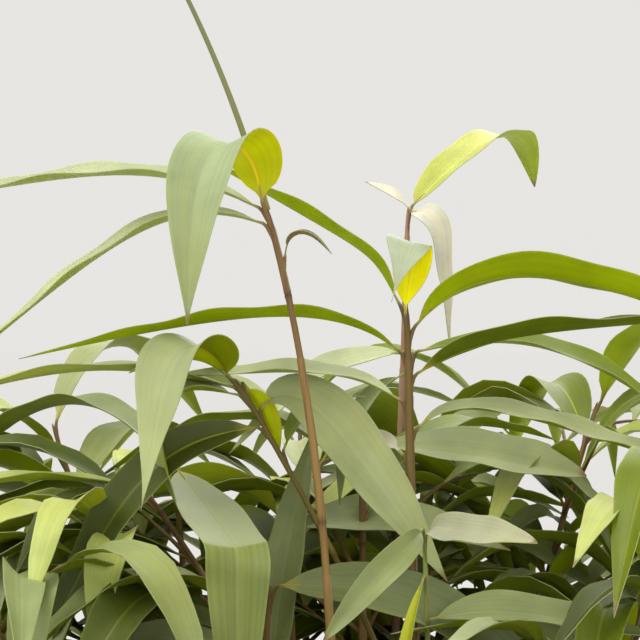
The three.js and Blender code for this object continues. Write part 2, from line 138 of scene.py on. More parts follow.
# The front culms with their leaves
FRONT_CULMS = [
    culm_row("01", (10, -62), (-95, -62, 935), (2.3, 0.8), 4, "tan", 3, (300, 440), (200, 340), taper=3,
             flag=[leaf(780, 238, 80, 168, 157, 40, "sun", 0.32, 1.6, 8, 18, -59, (0.5, 1.2))],
             left=[leaf(778, 178, 24, 34, 200, 27, "pale", 0.3, roll=-14),
                   leaf(770, 184, 16, 56, 190, 24, "pale", 0.25, roll=-12)],
             curl=[leaf(753, 350, 85, 130, 36, 12, "dry")]),
    culm_row("02", (54, -40), (46, -40, 730), (2.8, 1.75), 1.5, "olive", 3, (300, 450), (220, 350), taper=3,
             flag=[leaf(722, 248, 107, 142, 103, 29, "blaze", 0.42, 11, 9, -19, 0, (1.0, 2.35), 0.1)],
             left=[leaf(728, 174, 62, 32, 140, 26, "lime", 0.22, 4, roll=8),
                   leaf(703, 179, 38, 50, 210, 24, "lime", 0.2, 1.6, roll=10),
                   leaf(677, 178, 30, 34, 140, 22, "pale", 0.25, roll=-15),
                   leaf(648, 148, 45, 52, 60, 16, "ash", 0.2, roll=-35)],
             right=[leaf(716, 355, 50, 74, 210, 34, "lime", 0.25, 1.6, roll=-24),
                    leaf(691, 2, 30, 26, 200, 28, "deep", 0.2, roll=-35, twist=60),
                    leaf(662, 356, 46, 64, 195, 25, "soft", 0.12, roll=16)]),
    culm_row("03", (100, -20), (-46, -36, 690), (2.2, 1.3), 1.9, "brown", 3, (300, 440), (260, 400),
             flag=[leaf(688, 217, 50, 125, 127, 42, "shade", 0.29, 3, 15, 6, -30, (0.5, 1.65))],
             left=[leaf(689, 190, 40, 60, 58, 22, "spark", roll=20),
                   leaf(684, 180, 12, 28, 200, 24, "pale"),
                   leaf(680, 194, 10, 115, 100, 26, "sage", 0.42, 3, roll=-10),
                   leaf(663, 186, -8, 56, 190, 27, "deep", 0.3, roll=-55)],
             right=[leaf(687, 20, -45, 25, 46, 17, "spark", 0.3, roll=-30),
                    leaf(672, 350, 50, 104, 150, 36, "soft", 0.14, 2.4, roll=55),
                    leaf(650, 40, 62, 60, 70, 16, "lime")]),
    culm_row("04", (40, 85), (53, 90, 790), (3.2, 1.5), 1.5, "rosy", 19, (310, 600), (20, 160),
             flag=[leaf(788, 47, 36, 64, 218, 29, "glow", 0.58, 1.6, 31, 11, -20, (0.5, 0.85))],
             front=[leaf(785, 298, -4, 80, 104, 20, "ash", 0.21, 4, 51, 32, -11, (0.5, 1.5)),
                    leaf(786, 160, 50, 30, 34, 6, "ash", roll=-50)]),
    culm_row("05", (62, -66), (54, -62, 613), (2.0, 1.2), 1.5, "green", 3, (290, 430), (230, 340),
             right=[leaf(608, 282, 22, 21, 112, 20, "frost", 0.18, 9, 15, 62, -38, (0.67, 0.8)),
                    leaf(565, 352, 12, 22, 122, 27, "sage", 0.3, roll=28)],
             left=[leaf(612, 254, -11, 38, 94, 16, "sage", 0.41, 2.2, -59, -56, -16, (0.62, 0.83)),
                   leaf(588, 244, -50, 34, 140, 10, "spark", roll=25)]),
    culm_row("06", (50, 20), (52, 40, 708), (3.2, 1.6), 1.5, "olive", 17, (320, 610), (10, 140),
             right=[leaf(702, 352, 10, 46, 190, 28, "lime", roll=15)],
             left=[leaf(702, 185, -8, 36, 120, 26, "pale", roll=-25),
                   leaf(690, 205, -30, 50, 90, 26, "sage")]),
    culm_row("07", (24, 30), (24, 20, 660), (3.2, 1.6), 1.5, "tan", 13, (320, 582), (30, 190),
             right=[leaf(650, 358, -2, 10, 124, 33, "soft", roll=38, shape=(0.9, 0.75)),
                    leaf(612, 42, 48, 60, 180, 32, "lime")],
             left=[leaf(632, 165, 40, 70, 180, 32, "sage")]),
    culm_row("08", (50, 0), (-98, -5, 629), (3.0, 1.5), 1.9, "tan", 8, (320, 580), (90, 240),
             left=[leaf(628, 182, 8, 30, 190, 24, "fresh"),
                   leaf(620, 205, 0, 85, 80, 26, "sage", 0.3),
                   leaf(590, 190, 20, 60, 190, 30, "deep")]),
    culm_row("09", (-60, 10), (-82, 5, 655), (3.0, 1.5), 1.6, "brown", 9, (330, 610), (70, 220),
             front=[leaf(638, 293, -20, 66, 215, 38, "fold", 0.5, 40, -16, fold=0.14)],
             left=[leaf(640, 150, 40, 75, 190, 32, "sage"),
                   leaf(604, 165, 30, 70, 190, 32, "deep")]),
    culm_row("10", (-40, -30), (-26, -40, 583), (3.0, 1.5), 1.6, "olive", 8, (320, 530), (170, 350),
             right=[leaf(579, 352, 2, 40, 190, 31, "dusk", 0.4, roll=50),
                    leaf(520, 60, 80, 14, 150, 27, "slate")],
             left=[leaf(556, 200, 40, 90, 190, 34, "sage"),
                   leaf(520, 172, 36, 76, 190, 32, "lime")]),
    culm_row("11", (-10, 40), (-19, 40, 620), (3.0, 1.5), 1.6, "tan", 16, (320, 600), (20, 180),
             left=[leaf(606, 178, 42, 58, 120, 38, "fresh", 0.3, roll=28),
                   leaf(570, 160, 38, 80, 190, 34, "sage")],
             right=[leaf(602, 340, 12, 26, 130, 30, "soft", roll=40),
                    leaf(590, 30, 46, 70, 170, 30, "fresh")]),
]

# The outer culms, which fill the clump out round its sides and back: foot, tip and colours
OUTER_CULMS = {
    "12": ((-74, 62), (-168, 126, 662), "olive"),
    "13": ((82, 58), (172, 114, 676), "tan"),
    "14": ((-4, 98), (-14, 212, 665), "olive"),
    "15": ((-94, -26), (-190, -50, 606), "brown"),
    "16": ((98, 4), (200, -40, 630), "olive"),
    "17": ((-40, -80), (-74, -186, 520), "tan"),
    "18": ((30, -92), (84, -180, 505), "olive"),
}
OUTER_RADII = (3.2, 1.4)
OUTER_SWEEP = 1.7
OUTER_LEAVES = 8
OUTER_SPACING = 21
OUTER_SIDE = 66
OUTER_WANDER = 26
OUTER_RISE = (34, 66)
OUTER_BEND = (74, 112)
OUTER_LENGTH = (150, 205)
OUTER_WIDTH = (26, 36)
OUTER_ROLL = 30
OUTER_TOP = 6
OUTER_SEED = 189
OUTER_SEED_STEP = 37
OUTER_LOOKS = ("sage", "lime", "deep", "soft", "fresh", "lime")

# Side twigs, called sprays, with small leaves
SPRAY_RISE = (30, 62)
SPRAY_BEND = (5, 45)
SPRAY_LENGTH = (48, 92)
SPRAY_SWING = 25
SPRAY_LEAVES = (3, 5)
SPRAY_LEAF_SIDE = (26, 62)
SPRAY_LEAF_RISE = (2, 44)
SPRAY_LEAF_BEND = (40, 100)
SPRAY_LEAF_LENGTH = (90, 158)
SPRAY_LEAF_WIDTH = (0.17, 0.24)
SPRAY_LEAF_ROLL = 28
SPRAY_LEAF_HINGE = (0.3, 0.5)
SPRAY_LEAF_FIRST = 0.42
SPRAY_LOOKS = ("soft", "sage", "lime", "fresh", "deep", "soft", "sage")
SPRAY_TURN = 0.618
SPRAY_WANDER = 0.3
OUTER_SPRAYS = 16
OUTER_SPRAY_FOOT = 300
OUTER_SPRAY_TOP = 30
OUTER_SPRAY_SIDE = 130
TWIG_RADIUS = 1.55
TWIG_TAPER = 0.9
TWIG_SIDES = 7
TWIG_TONE = 0.09
# How far twigs keep inside the part's box, and how leaves and twigs are shortened to fit in it
TWIG_SPARE = 40
SHORTENING = 0.88
SHORTEST = 30

# Rows along a leaf and columns across it, for the front leaves, the outer ones and the small ones
FINE_GRID = (48, 8)
MIDDLE_GRID = (26, 6)
PLAIN_GRID = (12, 4)
WAVE_LENGTH = (38, 60)
FULL_WAVE_WIDTH = 10
FOLD_CURVE = 1.25
STALK_HALF_WIDTH = 0.8
TIP_HALF_WIDTH = 0.12

# Rings of a culm. The first is under the soil. Round a joint they are its height from the joint, its
# share of the swelling, and how much is sheath and joint there.
CULM_SIDES = 14
CULM_DEPTH = 5
JOINT_RINGS = ((-3.2, 0, 0, 0), (-1.4, 0.45, 0, 0.4), (-0.3, 1, 0, 1), (0.5, 0.3, 0, 1), (1.6, 0.7, 0.6, 0.3))
# On a sheath: share of its length, height over that, radius as a share, and sheath
SHEATH_RINGS = ((0, 4, 1.05, 1), (0.5, 0, 1.04, 1), (1, 0, 1.03, 1), (1, 0.7, 0.95, 0))
# At the bud: height from the top, and radius as a share
BUD_RINGS = ((-12, 0.92), (-6, 0.74), (-2, 0.45), (0, 0.15))
BARE_SHARE = 0.95
BARE_LENGTH = 12
FIRST_JOINT = 9
FIRST_GAP = 22.0
GAP_GROWTH = 1.28
GAP_SPREAD = (0.88, 1.12)
# How much of the gap between joints a sheath wraps, how far its free edge stands out as a share of the
# radius, and from which share of a turn the edge shows
SHEATH_SHARE = 0.72
SHEATH_LAP = 0.09
SEAM_FROM = 0.84
# The rolled leaf that a culm ends in
ROLLED_CULM = "01"
ROLLED_SHARE = 1.12
ROLLED_RINGS = 44
ROLLED_OVERLAP = 3
ROLLED_WIND = 0.012

# Rings of a leaf's sheath and stalk: how far out from the culm, where along the leaf, radius and tone
SHEATH_DROP = 24
STALK_OUT = (0.1, 0.2, 0.4, 0.82)
STALK_RUN = (0.006, 0.022, 0.045, 0.07)
STALK_RADII = (0.4, 0.7, 0.95, 1.15, 0.95, 0.75, 0.62, 0.35)
STALK_TONES = (0, 0.15, 0.3, 0.45, 0.6, 0.8, 0.9, 1.0)
FULL_STALK_WIDTH = 36

# Colours of the leaves: upper side and its midrib, underside and its midrib. Besides the leaves'
# own colour they hold painted light: upper sides are greyed with painted sky sheen, and undersides
# are yellowed partly by their own colour and partly by painted backlight.
LOOKS = {
    # sun, blaze, spark and glow are sunlit leaves: brightened with painted sunlight, their undersides with
    # painted backlight
    "sun": ((0.33, 0.40, 0.19), (0.36, 0.43, 0.20), (0.60, 0.62, 0.001), (0.80, 0.56, 0.02)),
    "blaze": ((0.29, 0.33, 0.20), (0.32, 0.36, 0.21), (0.74, 0.68, 0.001), (0.78, 0.60, 0.02)),
    "spark": ((0.46, 0.52, 0.002), (0.52, 0.54, 0.02), (0.46, 0.52, 0.002), (0.52, 0.54, 0.02)),
    "glow": ((0.54, 0.59, 0.105), (0.56, 0.62, 0.14), (0.34, 0.42, 0.001), (0.42, 0.47, 0.01)),
    "lime": ((0.14, 0.19, 0.0005), (0.36, 0.40, 0.04), (0.30, 0.38, 0.001), (0.46, 0.48, 0.05)),
    "sage": ((0.27, 0.32, 0.115), (0.31, 0.36, 0.15), (0.24, 0.30, 0.02), (0.33, 0.37, 0.14)),
    "soft": ((0.34, 0.385, 0.18), (0.38, 0.43, 0.20), (0.27, 0.32, 0.02), (0.36, 0.40, 0.12)),
    "fold": ((0.24, 0.29, 0.07), (0.30, 0.34, 0.12), (0.30, 0.34, 0.08), (0.38, 0.42, 0.18)),
    # fresh: a bright yellow-green, brightened with painted sunlight and backlight
    "fresh": ((0.46, 0.52, 0.14), (0.50, 0.54, 0.18), (0.40, 0.47, 0.03), (0.52, 0.56, 0.12)),
    # slate, dusk and deep are darkened with painted shade
    "slate": ((0.20, 0.24, 0.085), (0.25, 0.29, 0.11), (0.18, 0.22, 0.06), (0.25, 0.29, 0.10)),
    "dusk": ((0.14, 0.175, 0.065), (0.20, 0.23, 0.09), (0.13, 0.16, 0.04), (0.20, 0.23, 0.09)),
    "deep": ((0.065, 0.088, 0.004), (0.30, 0.32, 0.03), (0.11, 0.15, 0.003), (0.30, 0.32, 0.03)),
    # pale, frost and ash: the leaves' own pale bloom, whitened further with painted sky sheen
    "pale": ((0.46, 0.50, 0.28), (0.50, 0.53, 0.32), (0.30, 0.36, 0.08), (0.46, 0.48, 0.26)),
    "frost": ((0.44, 0.47, 0.35), (0.48, 0.50, 0.38), (0.34, 0.40, 0.20), (0.44, 0.48, 0.30)),
    "ash": ((0.62, 0.60, 0.48), (0.66, 0.63, 0.50), (0.60, 0.58, 0.46), (0.64, 0.62, 0.48)),
    "shade": ((0.38, 0.44, 0.22), (0.41, 0.47, 0.23), (0.22, 0.26, 0.001), (0.60, 0.54, 0.02)),
    "dry": ((0.16, 0.17, 0.04), (0.24, 0.20, 0.08), (0.24, 0.18, 0.08), (0.30, 0.26, 0.14)),
}
LEAF_DRY = (0.22, 0.15, 0.07)
LEAF_FOOT = (0.42, 0.38, 0.05)
UPPER_GLOSS = 0.4
UNDER_GLOSS = 0.12
# How strongly streaks and veins show, on plain leaves and on one with painted sky sheen before its fold
PLAIN_STREAKS = (0.22, 0.2)
FOLDED_STREAKS = (0.7, 0.4)
# The part of a leaf before its sharp fold faces up, and its paler colour is painted sky sheen: that
# colour, and the run along the leaf where it ends
BEFORE_FOLD = {"fold": ((0.33, 0.37, 0.17), 0.452, 0.464)}
# How deep light goes into a leaf, in metres
LEAF_GLOW = 0.0008
LEAF_SLOTS = {"flag": "leaf_fresh", "curl": "leaf_pale", "front": "leaf_pale"}

# Colours of the culms: low down, half way up, at the top, and of the sheaths
SKINS = {
    "tan": ((0.34, 0.16, 0.055), (0.24, 0.145, 0.04), (0.095, 0.048, 0.02), (0.28, 0.165, 0.05)),
    "olive": ((0.17, 0.13, 0.026), (0.15, 0.105, 0.02), (0.11, 0.06, 0.012), (0.18, 0.12, 0.03)),
    "brown": ((0.16, 0.115, 0.02), (0.15, 0.105, 0.015), (0.105, 0.07, 0.01), (0.17, 0.125, 0.022)),
    "rosy": ((0.16, 0.10, 0.03), (0.24, 0.13, 0.07), (0.36, 0.19, 0.13), (0.30, 0.18, 0.11)),
    "green": ((0.14, 0.18, 0.03), (0.18, 0.23, 0.03), (0.21, 0.26, 0.04), (0.20, 0.20, 0.07)),
}

SEAM_COLOUR = (0.36, 0.28, 0.15)

# Lights: name, place, size and power, all turned to one target
LIGHT_TARGET = (0, 0, 0.6)
LIGHTS = (("key", (-0.8, -0.6, 2.2), 1.4, 26), ("rim", (0.7, 1.4, 1.9), 1.4, 22),
          ("fill", (0.9, -2.2, 1.5), 1.2, 12))
FLOOR_HALF = 40.0


# Settings that a user may change

class BambooLeafSettings(bpy.types.PropertyGroup):
    thickness: FloatProperty(
        name="Thickness", description="Thickness of a leaf", default=0.0004, min=0.0001, max=0.001,
        unit="LENGTH", subtype="DISTANCE")
    ripple: FloatProperty(
        name="Ripple", description="Height of the waves along a leaf's edges", default=0.0011, min=0.0,
        max=0.004, unit="LENGTH", subtype="DISTANCE")
    veins: FloatProperty(
        name="Veins", description="Number of main veins across a leaf", default=19.0, min=5.0, max=40.0)
    seed: IntProperty(name="Seed", description="Start of the seeded draws of the side twigs", default=41)


class BambooCulmSettings(bpy.types.PropertyGroup):
    internode: FloatProperty(
        name="Internode", description="Longest distance between two joints of a culm", default=0.11,
        min=0.03, max=0.15, unit="LENGTH", subtype="DISTANCE")
    ring: FloatProperty(
        name="Joint swelling", description="How far a joint stands out, as a share of the radius",
        default=0.16, min=0.0, max=0.6, subtype="FACTOR")


class BambooPotSettings(bpy.types.PropertyGroup):
    clay: FloatVectorProperty(
        name="Clay", description="Colour of the fired clay", default=(0.40, 0.165, 0.085), size=3,
        min=0.0, max=1.0, subtype="COLOR")
    bloom: FloatVectorProperty(
        name="Bloom", description="Colour of the lime bloom on the clay", default=(0.58, 0.47, 0.40),
        size=3, min=0.0, max=1.0, subtype="COLOR")
    soil: FloatVectorProperty(
        name="Soil", description="Colour of the moist soil", default=(0.040, 0.026, 0.016), size=3,
        min=0.0, max=1.0, subtype="COLOR")
    chips: IntProperty(name="Chips", description="Number of bark chips on the soil", default=190, min=0)


class BambooStageSettings(bpy.types.PropertyGroup):
    eye_height: FloatProperty(
        name="Camera height", description="Height of the camera over the floor", default=0.72,
        unit="LENGTH", subtype="DISTANCE")
    distance: FloatProperty(
        name="Camera distance", description="From the camera to the front culms", default=1.0, min=0.3,
        unit="LENGTH", subtype="DISTANCE")
    lens: FloatProperty(
        name="Lens", description="Focal length of the camera", default=105.9, min=20.0, unit="CAMERA")
    floor: FloatVectorProperty(
        name="Floor", description="Colour of the pale floor", default=(0.985, 0.985, 0.985), size=3, min=0.0,
        max=1.0, subtype="COLOR")


# Shader nodes

class Mix:
    """Short calls that add shader nodes to one material with a Principled shader. Its base colour is
    laid in layers, one over the other."""

    def __init__(self, name, gloss=0.5, **sockets):
        self.material = bpy.data.materials.new(name)
        self.material.use_nodes = True
        self.tree = self.material.node_tree
        self.tree.nodes.clear()
        self.shader = self.node("BsdfPrincipled", {"Specular IOR Level": gloss, **sockets})
        output = self.tree.nodes.new("ShaderNodeOutputMaterial")
        self.tree.links.new(self.shader.outputs[0], output.inputs["Surface"])

    def node(self, kind, sockets=None, **settings):
        """Adds a node, sets it, and fills its sockets with plain values or links."""
        made = self.tree.nodes.new("ShaderNode" + kind)
        for key, value in settings.items():
            setattr(made, key, value)
        for key, value in (sockets or {}).items():
            self.fill(made.inputs[key], value)
        return made

    def fill(self, socket, value):
        if isinstance(value, bpy.types.NodeSocket):
            self.tree.links.new(value, socket)
        elif isinstance(value, tuple) and len(value) == 3 and socket.type == "RGBA":
            socket.default_value = (*value, 1.0)
        else:
            socket.default_value = value

    def math(self, operation, a, b=0.0, c=0.0):
        return self.node("Math", {0: a, 1: b, 2: c}, operation=operation).outputs[0]

    def times(self, a, b):
        return self.math("MULTIPLY", a, b)

    def step(self, value, low, high):
        """0 where value is under low, 1 where it is over high, smooth between."""
        sockets = {"Value": value, "From Min": low, "From Max": high}
        return self.node("MapRange", sockets, interpolation_type="SMOOTHSTEP").outputs[0]

    def ramp(self, value, low, high, start=0.0):
        """From low to high while value goes from start to 1."""
        sockets = {"Value": value, "From Min": start, "To Min": low, "To Max": high}
        return self.node("MapRange", sockets).outputs[0]

    def place(self):
        """Object coordinates."""
        return self.node("TexCoord").outputs["Object"]

    def noise(self, scale, detail=2.0, rough=0.5, stretch=None, at=None):
        """Noise over object coordinates, or over those given."""
        vector = self.place() if at is None else at
        if stretch:
            vector = self.node("Mapping", {"Vector": vector, "Scale": stretch}).outputs[0]
        sockets = {"Vector": vector, "Scale": scale, "Detail": detail, "Roughness": rough}
        return self.node("TexNoise", sockets).outputs[0]

    def mark(self, name):
        """A number that the mesh carries at each point."""
        return self.node("Attribute", attribute_name=name).outputs["Fac"]

    def base(self, low, high, share):
        """The first layer: two colours."""
        self.body = low
        self.lay(high, share)

    def lay(self, colour, share, strength=1.0):
        """A further layer, as far as share and strength say."""
        if strength != 1.0:
            share = self.times(share, strength)
        made = self.node("Mix", data_type="RGBA")
        for index, value in ((0, share), (6, self.body), (7, colour)):
            self.fill(made.inputs[index], value)
        self.body = made.outputs[2]

    def dull(self, value, low, high):
        """Roughness from low to high."""
        self.fill(self.shader.inputs["Roughness"], self.ramp(value, low, high))

    def finished(self, height=None, distance=0.0, strength=0.0):
        """The material, with its layers and its relief linked."""
        self.fill(self.shader.inputs["Base Color"], self.body)
        if height is not None:
            sockets = {"Height": height, "Distance": distance, "Strength": strength}
            self.fill(self.shader.inputs["Normal"], self.node("Bump", sockets).outputs[0])
        return self.material


def scaled(colour, share):
    return tuple(min(1.0, part * share) for part in colour)


def leaf_side(name, colour, rib, settings, gloss, before=None):
    """One side of a leaf: parallel veins, a pale midrib and margin, mottling, a yellow foot, a dry tip,
    and a paler colour of painted sky sheen before its fold, with stronger streaks after it, where it has one."""
    streaked, veined = FOLDED_STREAKS if before else PLAIN_STREAKS
    mix = Mix(name, gloss, **{"Subsurface Weight": 0.5, "Subsurface Scale": LEAF_GLOW,
                              "Subsurface Radius": (1.0, 1.0, 0.25)})
    leaf_map = mix.node("UVMap", uv_map="leaf_map").outputs[0]
    across, run, _ = mix.node("SeparateXYZ", {0: leaf_map}).outputs
    from_rib = mix.times(mix.math("ABSOLUTE", mix.math("SUBTRACT", across, 0.5)), 2.0)
    tone = mix.mark("tone")
    mottle = mix.noise(42.0, 3.0)
    patches = mix.noise(9.0)
    vein_place = mix.node("CombineXYZ", {
        0: mix.times(across, settings.veins), 1: mix.times(run, 0.4),
        2: mix.times(tone, 9.0)}).outputs[0]
    veins = mix.noise(1.0, 2.0, 0.6, at=vein_place)
    streaks = mix.noise(1.0, stretch=(0.3, 2.0, 1.0), at=vein_place)

    yellower = (min(1.0, colour[0] * 1.22), colour[1] * 1.04, colour[2] * 0.6)
    mix.base(scaled(colour, 0.88), scaled(colour, 1.1), mix.step(mottle, 0.3, 0.7))
    mix.lay(yellower, mix.step(patches, 0.45, 0.75), 0.5)
    mix.lay(yellower, mix.step(streaks, 0.5, 0.72), streaked)
    mix.lay(scaled(colour, 0.6), mix.step(veins, 0.42, 0.68), veined)
    # painted sky sheen: the up-facing part before the fold is paler
    if before:
        paler, low, high = before
        mix.lay(paler, mix.step(run, high, low))
    value = mix.math("MULTIPLY_ADD", tone, 0.16, 1.0)
    mix.body = mix.node("HueSaturation", {"Value": value, "Color": mix.body}).outputs[0]
    on_rib = mix.step(from_rib, 0.075, 0.03)
    mix.lay(rib, on_rib, mix.math("MULTIPLY_ADD", mix.step(run, 0.4, 0.08), 0.6, 0.3))
    mix.lay(rib, mix.step(from_rib, 0.92, 0.99), 0.25)
    mix.lay(LEAF_FOOT, mix.step(run, 0.08, 0.02), 0.6)
    frayed = mix.math("ADD", run, mix.times(mottle, 0.05))
    mix.lay(LEAF_DRY, mix.step(frayed, 0.965, 1.01))
    mix.dull(veins, 0.42, 0.62)
    return mix.finished(mix.math("SUBTRACT", veins, on_rib), 0.0003, 0.35)


def leaf_margin():
    """The thin pale edge of every leaf."""
    mix = Mix("leaf_margin", Roughness=0.55)
    mix.base((0.24, 0.28, 0.09), (0.36, 0.38, 0.16), mix.noise(300.0))
    return mix.finished()


def culm_skin(name, colours):
    """A culm's skin: it changes up the culm, is ringed at the joints and papery on the sheaths."""
    low, middle, top, dry = colours
    mix = Mix(name, 0.32, **{"Coat Weight": 0.05, "Coat Roughness": 0.3})
    fibres = mix.noise(1.0, 3.0, 0.6, stretch=(900.0, 900.0, 26.0))
    streaks = mix.noise(1.0, stretch=(420.0, 420.0, 5.0))
    blotches = mix.noise(120.0, 3.0, 0.6, stretch=(1.0, 1.0, 0.35))
    rise = mix.mark("rise")
    mix.base(low, middle, mix.step(rise, 0.0, 0.55))
    mix.lay(top, mix.step(rise, 0.72, 1.0))
    mix.lay(scaled(middle, 0.5), mix.step(blotches, 0.45, 0.7), 0.55)
    mix.lay(dry, mix.mark("sheath"), mix.ramp(rise, 0.75, 0.15, start=0.7))
    mix.lay(scaled(top, 0.9), mix.step(streaks, 0.5, 0.66), 0.6)
    mix.lay(scaled(dry, 1.5), fibres, 0.35)
    mix.lay(scaled(top, 0.6), mix.mark("ring"), 0.6)
    mix.lay(SEAM_COLOUR, mix.step(mix.mark("seam"), 0.45, 0.85), 0.8)
    mix.dull(fibres, 0.38, 0.66)
    return mix.finished(mix.math("ADD", fibres, blotches), 0.00025, 0.6)


def spear_skin():
    """The rolled new leaf at the top of culm 01."""
    mix = Mix("rolled_leaf", 0.4, Roughness=0.5)
    fibres = mix.noise(1.0, stretch=(420.0, 420.0, 14.0))
    rise = mix.mark("rise")
    mix.base((0.24, 0.24, 0.08), (0.16, 0.17, 0.06), mix.step(rise, 0.78, 0.95))
    mix.lay((0.30, 0.22, 0.05), mix.step(rise, 0.82, 0.785))
    mix.lay((0.13, 0.13, 0.05), fibres, 0.4)
    return mix.finished(fibres, 0.0002, 0.3)


def twig_skin(name, colours):
    """Leaf sheaths, leaf stalks and side twigs: as their culm below, yellow-green at the leaf."""
    _, middle, _, dry = colours
    mix = Mix(name, 0.45, Roughness=0.5)
    fibres = mix.noise(1.0, 3.0, stretch=(500.0, 500.0, 120.0))
    run = mix.mark("rise")
    mix.base(middle, scaled(dry, 0.75), mix.step(run, 0.05, 0.45))
    mix.lay((0.38, 0.35, 0.04), mix.step(run, 0.5, 0.85))
    mix.lay(scaled(middle, 0.6), fibres, 0.4)
    return mix.finished(fibres, 0.0002, 0.6)


def clay_finish(settings):
    """Plain fired clay with lime bloom, a foot darker towards the bottom, worn rims and fine grain."""
    clay, bloom = tuple(settings.clay), tuple(settings.bloom)
    mix = Mix("fired_clay", 0.25)
    height = mix.node("SeparateXYZ", {0: mix.place()}).outputs[2]
    clouds = mix.noise(7.0, 5.0, 0.6)
    grain = mix.noise(420.0, 4.0, 0.7)
    throw = mix.noise(1.0, stretch=(3.0, 3.0, 160.0))
    patches = mix.noise(16.0, 6.0, 0.65, stretch=(1.0, 1.0, 0.6))
    streaks = mix.noise(90.0, 3.0, stretch=(1.0, 1.0, 0.08))
    mix.base(scaled(clay, 0.78), scaled(clay, 1.15), mix.step(clouds, 0.35, 0.65))
    mix.lay(scaled(clay, 0.6), grain, 0.35)
    # darker towards the bottom of the pot
    mix.lay(scaled(clay, 0.4), mix.step(height, 0.05, 0.005), 0.45)
    near_rim = mix.times(mix.step(height, 0.12, 0.24), 0.45)
    mix.lay(bloom, mix.step(patches, 0.47, 0.72), mix.math("ADD", near_rim, 0.28))
    mix.lay(scaled(bloom, 0.9), mix.step(streaks, 0.55, 0.75), 0.3)
    mix.dull(clouds, 0.74, 0.95)
    return mix.finished(mix.math("ADD", mix.times(grain, 0.7), throw), 0.0006, 0.6)


def soil_finish(settings):
    """Moist crumbly soil."""
    soil = tuple(settings.soil)
    mix = Mix("moist_soil", 0.3)
    crumbs = mix.noise(260.0, 5.0, 0.7)
    patches = mix.noise(22.0, 3.0)
    mix.base(scaled(soil, 0.5), scaled(soil, 2.1), mix.step(crumbs, 0.3, 0.72))
    mix.lay(scaled(soil, 2.8), mix.step(patches, 0.45, 0.75), 0.5)
    mix.dull(patches, 0.7, 1.0)
    return mix.finished(crumbs, 0.002, 0.8)


def crumb_finish(name, dark, light, scale):
    """Bark, grit and the like: two tones of one colour, with grain."""
    mix = Mix(name, 0.3)
    tone = mix.noise(scale, 3.0, 0.6)
    mix.base(dark, light, mix.step(tone, 0.3, 0.7))
    mix.dull(tone, 0.65, 0.95)
    return mix.finished(tone, 0.001, 0.6)


# Meshes

def new_mesh(*marks):
    """An empty bmesh with a number layer for each mark."""
    bm = bmesh.new()
    for name in marks:
        bm.verts.layers.float.new(name)
    return bm


def new_object(bm, name, materials):
    """An object of the bmesh, which is freed."""
    mesh = bpy.data.meshes.new(name)
    bm.to_mesh(mesh)
    bm.free()
    for material in materials:
        mesh.materials.append(material)
    made = bpy.data.objects.new(name, mesh)
    bpy.context.scene.collection.objects.link(made)
    return made


def finish_piece(bm, name, materials, slot, nodes=()):
    """Turns millimetres into metres, makes the object, and ties it to the part."""
    bmesh.ops.scale(bm, vec=(MM, MM, MM), verts=bm.verts)
    for face in bm.faces:
        face.smooth = True
    made = new_object(bm, name, materials)
    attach(made, BODY)
    if nodes:
        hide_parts(*nodes)
    return made


def spun(profile, steps, cuts=0, rounded=0.0):
    """A closed body: the profile, a list of (radius, height) from axis to axis, spun about +Z."""
    bm = bmesh.new()
    verts = [bm.verts.new((radius, 0.0, height)) for radius, height in profile]
    edges = [bm.edges.new(pair) for pair in zip(verts, verts[1:])]
    if rounded:
        bmesh.ops.bevel(
            bm, geom=verts[1:-1], offset=rounded, offset_type="OFFSET", segments=3, profile=0.5,
            affect="VERTICES", material=-1)
    if cuts:
        long_edges = [edge for edge in bm.edges if edge.calc_length() > cuts]
        for edge in long_edges:
            bmesh.ops.subdivide_edges(bm, edges=[edge], cuts=int(edge.calc_length() / cuts))
    bmesh.ops.spin(
        bm, geom=[*bm.verts, *bm.edges], cent=(0, 0, 0), axis=(0, 0, 1), angle=2 * math.pi, steps=steps,
        use_merge=True)
    bmesh.ops.remove_doubles(bm, verts=bm.verts, dist=0.001)
    bmesh.ops.recalc_face_normals(bm, faces=bm.faces)
    return bm


def edges_among(verts):
    """The edges between these points."""
    inside = set(verts)
    return [edge for edge in {e for v in verts for e in v.link_edges} if set(edge.verts) <= inside]


def add_tube(bm, centres, radii, sides, marks=None, shape=None, first=None, wind=0.0):
    """A closed tube: a circle extruded from each centre to the next. marks gives the mesh's number layers
    their value and shape scales the radius, both by ring and turn. first is where turn 0 looks, and wind
    turns each ring that much further than the one before."""
    turn_layer = bm.verts.layers.float["turn"]
    ring = bmesh.ops.create_circle(bm, cap_ends=True, segments=sides, radius=1.0)["verts"]
    for vert in ring:
        vert[turn_layer] = math.atan2(vert.co.y, vert.co.x) / (2 * math.pi) % 1.0
    edges = edges_among(ring)
    level = first
    last = len(centres) - 1
    for i, (centre, radius) in enumerate(zip(centres, radii)):
        if i:
            made = bmesh.ops.extrude_edge_only(bm, edges=edges)["geom"]
            ring = [part for part in made if isinstance(part, bmesh.types.BMVert)]
            edges = edges_among(ring)
        forward = (centres[min(i + 1, last)] - centres[max(i - 1, 0)]).normalized()
        level = level or forward.orthogonal()
        level = (level - forward * level.dot(forward)).normalized()
        beside = forward.cross(level)
        for vert in ring:
            turn = vert[turn_layer]
            angle = (turn + wind * i) * 2 * math.pi
            reach = radius * (shape(i, turn) if shape else 1.0)
            vert.co = centre + (level * math.cos(angle) + beside * math.sin(angle)) * reach
            for name, mark in (marks or {}).items():
                vert[bm.verts.layers.float[name]] = mark(i, turn)
    bmesh.ops.contextual_create(bm, geom=edges)


# Culms

def along(culm, z):
    """Share of the way from the soil to the culm's tip."""
    return max(0.0, (z - SOIL_LEVEL) / (culm["tip"][2] - SOIL_LEVEL))


